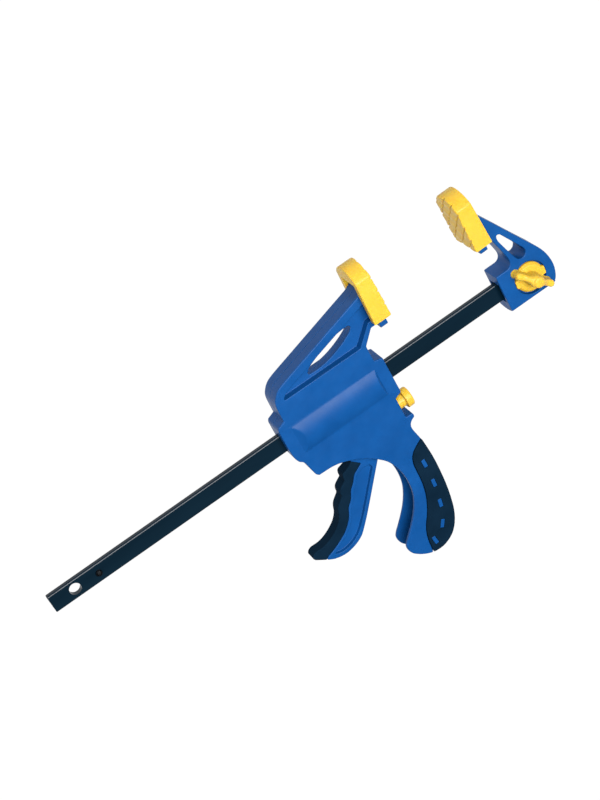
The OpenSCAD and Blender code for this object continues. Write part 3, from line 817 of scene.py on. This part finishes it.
# ---------------------------------------------------------------- trigger
def make_trigger():
    place = Matrix.Translation(Vector((BX, 0, 0)) * MM)
    pts = outline(SEAM + TRIGGER_BACK, 1.2)
    rec = outline(TRIGGER_RECESS, 1.2)
    s = Shape()
    rings = [s.loop(inset(pts, i), -7 + t) for i, t in reversed(arc(0.7, 3))] + [s.loop(inset(pts, i), 7 - t) for i, t in arc(0.7, 3)]
    for a, b in zip(rings, rings[1:]):
        s.band(a, b)
    t1, b1 = sink(s, rec, 7, 3.5, 0.5, 0.6, slope=0.5)
    s.cap(rings[-1], [t1])
    s.cap(b1)
    k = len(s.v)
    t2, b2 = sink(s, rec, 7, 3.5, 0.5, 0.6, slope=0.5)
    s.v[k:] = [(x, y, -z) for x, y, z in s.v[k:]]
    s.cap(rings[0], [t2])
    s.cap(b2)
    o = to_mesh(s, "trigger_core", place)
    carve(o, [prism(circle(-62, -32, 3.05, 40), -9, 9, "cutter", place)])
    finish_piece(o, BLUE, "trigger", "trigger")
    # the soft finger grip
    pts = outline(FINGER + [(p[0] - 0.15, p[1] + 0.15) for p in SEAM], 1.6, corner=60)
    s = Shape()
    rings = [s.loop(inset(pts, i), -7.1 + t) for i, t in reversed(arc(1.2, 4))] + [s.loop(inset(pts, i), 7.1 - t) for i, t in arc(1.2, 4)]
    for a, b in zip(rings, rings[1:]):
        s.band(a, b)
    s.cap(rings[0])
    s.cap(rings[-1])
    finish_piece(to_mesh(s, "finger_grip", place), RUBBER, "trigger", "trigger_grip")


# ---------------------------------------------------------------- button
def make_button():
    place = Matrix.Translation(Vector((BX, -37.8, 0)) * MM) @ Matrix.Rotation(math.radians(90), 4, "Y")
    prof = [(0, -17.7), (3, -17.7), (3, -16.4), (8.4, -16.4), (8.4, -14.4), (6.8, -14.4), (6.8, 0.5), (7.0, 1.0), (9.1, 1.2), (9.8, 1.6), (10.0, 2.2), (10.0, 6.9)]
    prof += [(10.0 - 1.9 * (1 - math.cos(t)), 6.9 + 1.8 * math.sin(t)) for t in (0.3, 0.6, 0.9, 1.2, 1.5708)]
    prof += [(6.4, 8.95), (3.0, 9.15), (0, 9.2)]
    finish_piece(lathe(prof, "button_body", place, 80), YELLOW, "release_button", "release_button", 40)


make_bar()
make_fixed_jaw()
make_pads()
make_knob()
for side in (1, -1):
    make_shell(side)
    make_grip(side)
make_trigger()
make_button()

for node, mat, slot in (
    ("lock_pin", ZINC, "steel"), ("housing_screws", ZINC, "steel"), ("trigger_pin", ZINC, "steel"),
    ("drive_plate", PLATE, "steel"), ("brake_plate", PLATE, "steel"),
    ("drive_spring", SPRING, "steel"), ("brake_spring", SPRING, "steel"),
):
    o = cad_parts[node]
    o.data.materials.clear()
    o.data.materials.append(mat)

# ---------------------------------------------------------------- floor, light, camera
def make_floor():
    s = Shape()
    z = -22.0
    a = s.loop(circle(260, 0, 6000, 96), z)
    s.cap(a)
    o = to_mesh(s, "floor")
    m, nt, b = material("pale_floor")
    c = blend_colours(nt, spread(nt, noise(nt, 3, 2), 0.3, 0.7, 0, 1), srgb(30, 30, 30), srgb(34, 34, 34))
    nt.links.new(c, b.inputs["Base Color"])
    b.inputs["Roughness"].default_value = 0.9
    b.inputs["Specular IOR Level"].default_value = 0.0
    # a pale sheet lit from below, as on a photo table, so that the clamp throws no shadow
    b.inputs["Emission Color"].default_value = (1, 1, 1, 1)
    b.inputs["Emission Strength"].default_value = 1.0
    o.data.materials.append(m)


make_floor()

world = bpy.data.worlds.new("studio")
scene.world = world
world.use_nodes = True
bg = world.node_tree.nodes["Background"]
bg.inputs["Color"].default_value = (1, 1, 1, 1)
bg.inputs["Strength"].default_value = 0.12


def softbox(name, at, look, w, h, power, colour=(1, 1, 1)):
    d = bpy.data.lights.new(name, "AREA")
    d.shape, d.size, d.size_y, d.energy, d.color = "RECTANGLE", w, h, power, colour
    o = bpy.data.objects.new(name, d)
    o.location = at
    o.rotation_euler = (Vector(look) - Vector(at)).to_track_quat("-Z", "Y").to_euler()
    scene.collection.objects.link(o)
    return o


softbox("overhead", (0.45, 0.85, 2.4), (0.3, 0.0, 0.0), 2.4, 1.9, 178)
softbox("side", (-1.9, -0.2, 0.9), (0.3, 0.0, 0.0), 1.2, 1.0, 14)

scene.view_settings.view_transform = "Standard"
scene.view_settings.look = "None"

cam_data = bpy.data.cameras.new("camera")
cam_data.sensor_fit = "AUTO"
cam_data.sensor_width = 36.0
cam_data.lens = 1935.32 * 36.0 / 800.0
cam_data.clip_start, cam_data.clip_end = 0.05, 50
cam = bpy.data.objects.new("camera", cam_data)
right, up, back = Vector((0.8131, -0.4329, 0.3893)), Vector((0.5660, 0.7444, -0.3543)), Vector((-0.1364, 0.5084, 0.8503))
back.normalize()
right = (right - back * right.dot(back)).normalized()
up = back.cross(right)
m = Matrix((right, up, back)).transposed().to_4x4()
m.translation = Vector((0.0235, 0.9438, 1.5336))
cam.matrix_world = m
scene.collection.objects.link(cam)
scene.camera = cam
